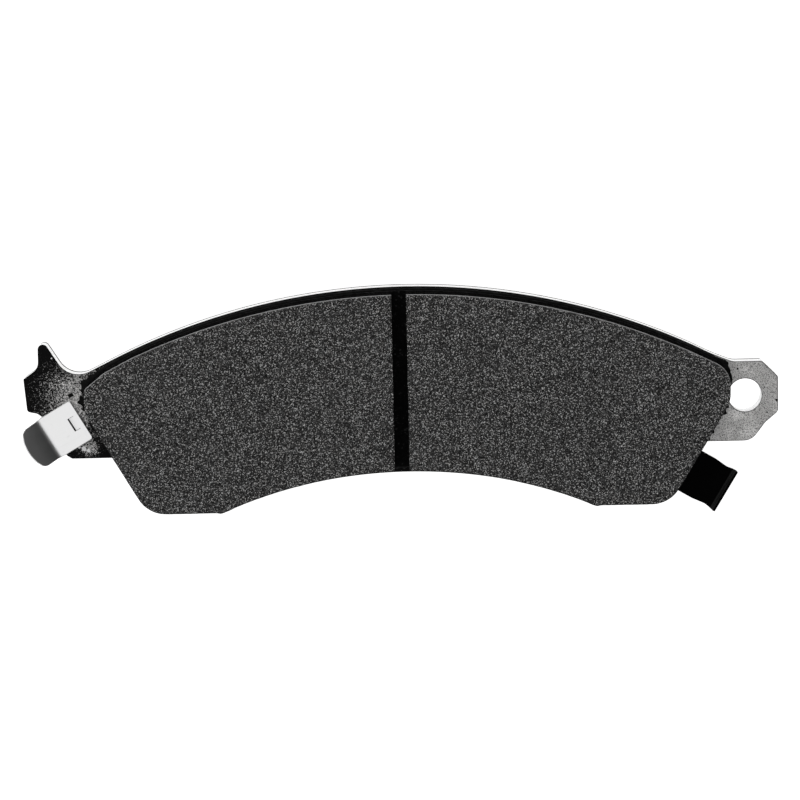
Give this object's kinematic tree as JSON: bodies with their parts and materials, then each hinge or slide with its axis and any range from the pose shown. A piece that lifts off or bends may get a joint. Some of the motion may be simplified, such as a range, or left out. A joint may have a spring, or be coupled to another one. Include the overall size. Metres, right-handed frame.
{
  "type": "brake pad",
  "caption": "Arched disc-brake pad with a slotted lining, a horned ear with a plated spring clip, a holed ear, a riveted abutment spring and a layered noise shim on its back.",
  "frame": {"origin": "on the shim's rear face, on the line that halves the lining's arc, at half the lining's height there", "axes": "+X along the pad towards the holed ear, +Y outwards from the wheel's axle, +Z from the pistons towards the rotor"},
  "size_m": [0.189, 0.0592, 0.0151],
  "materials": {
    "plate_steel": "bare grit-blasted steel, darkened towards the horn",
    "friction_compound": "matt, speckled with pale and dark grains",
    "bonding_resin": "black, with a ragged edge",
    "underlayer_compound": "matt black",
    "shim_coating": "fine matt rubber",
    "shim_core": "bright cut edge",
    "clip_plating": "bright zinc plating",
    "spring_black": "black phosphate",
    "rivet_steel": "dull steel"
  },
  "bodies": {
    "pad": {"backing_plate": "plate_steel", "bond_layer": "bonding_resin", "underlayer": "underlayer_compound", "friction_block_left": "friction_compound", "friction_block_right": "friction_compound", "shim_adhesive": "bonding_resin", "shim_steel": "shim_core", "shim_rubber": "shim_coating", "clip_leg": "clip_plating", "abutment_spring_leg": "spring_black", "spring_rivet_lower": "rivet_steel", "spring_rivet_upper": "rivet_steel"},
    "tongue": {"clip_tongue": "clip_plating"},
    "arm": {"abutment_spring_arm": "spring_black"}
  },
  "joints": [
    {"name": "tongue_flex", "type": "hinge", "parent": "pad", "child": "tongue", "pos_m": [-0.08872, -0.01159, 0.00637], "axis": [0.5045, -0.8634, 0], "range_deg": [-4, 8], "stiffness_Nm_per_rad": 2},
    {"name": "arm_flex", "type": "hinge", "parent": "pad", "child": "arm", "pos_m": [0.07019, -0.02389, 0.00145], "axis": [0.5136, 0.8581, 0], "range_deg": [-5, 3], "stiffness_Nm_per_rad": 2}
  ]
}
